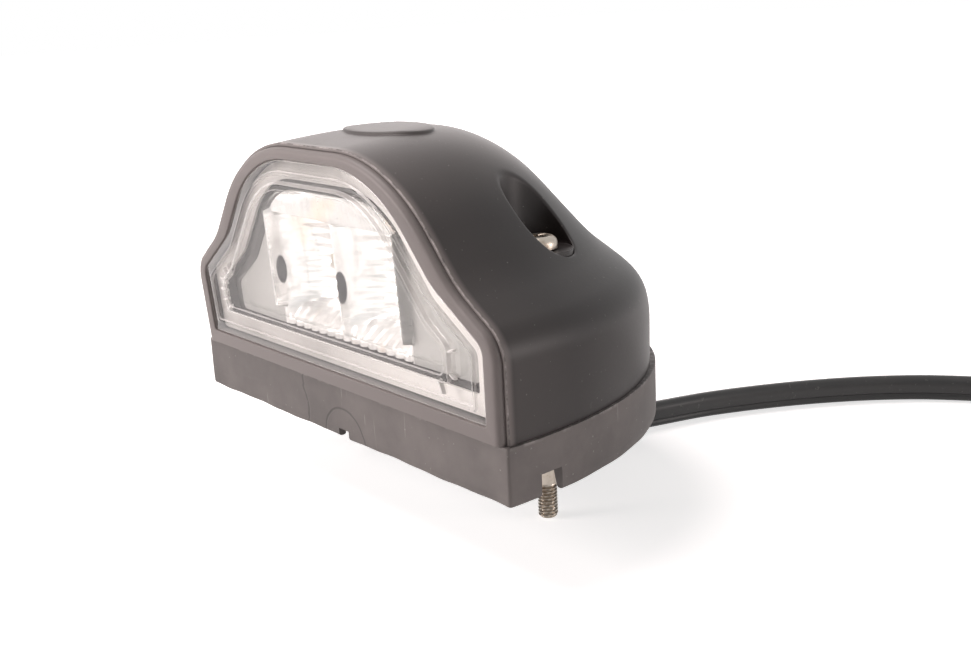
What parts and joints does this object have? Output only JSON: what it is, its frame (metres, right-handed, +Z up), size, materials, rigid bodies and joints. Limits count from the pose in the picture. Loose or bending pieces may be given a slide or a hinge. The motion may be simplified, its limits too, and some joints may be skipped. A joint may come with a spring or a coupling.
{
  "type": "number plate lamp",
  "caption": "Number plate lamp with a black moulded dome, a clear bell-shaped lens, a hollow rubber base, two long fixing screws and a cable.",
  "frame": {"origin": "on the mounting face at the bottom of the rubber base, midway between the axes of the two fixing screws", "axes": "+Z up out of the mounting face, the lens looks along -Y, +X to the right seen from the front"},
  "size_m": [0.2061, 0.1736, 0.0788],
  "materials": {
    "housing_plastic": "satin",
    "base_rubber": "matte",
    "closing_plastic": "satin",
    "lens_clear": "polished",
    "seal_rubber": "matte",
    "reflector_bright": "polished",
    "board": "satin",
    "led_lens": "satin",
    "component_black": "satin",
    "component_can": "satin",
    "screw_steel": "satin",
    "screw_brass": "satin",
    "core_red": "satin",
    "core_black": "satin",
    "cable_sheath": "satin",
    "tie_plastic": "satin"
  },
  "bodies": {
    "root": {"housing": "housing_plastic", "base_pad": "base_rubber", "closing_plate": "closing_plastic", "lens": "lens_clear", "lens_seal": "seal_rubber", "reflector": "reflector_bright", "circuit_board": "board", "led_left": "led_lens", "led_right": "led_lens", "resistor_left": "component_black", "resistor_right": "component_black", "diode": "component_black", "capacitor": "component_can", "driver_chip": "component_black", "board_screw_left": "screw_steel", "board_screw_right": "screw_steel", "screw_left": "screw_brass", "screw_right": "screw_brass", "cable_gland": "seal_rubber", "core_red": "core_red", "core_black": "core_black", "cable": "cable_sheath", "cable_coil": "cable_sheath", "cable_end": "cable_sheath", "cable_tie": "tie_plastic", "end_core_red": "core_red", "end_core_black": "core_black"}
  },
  "joints": []
}
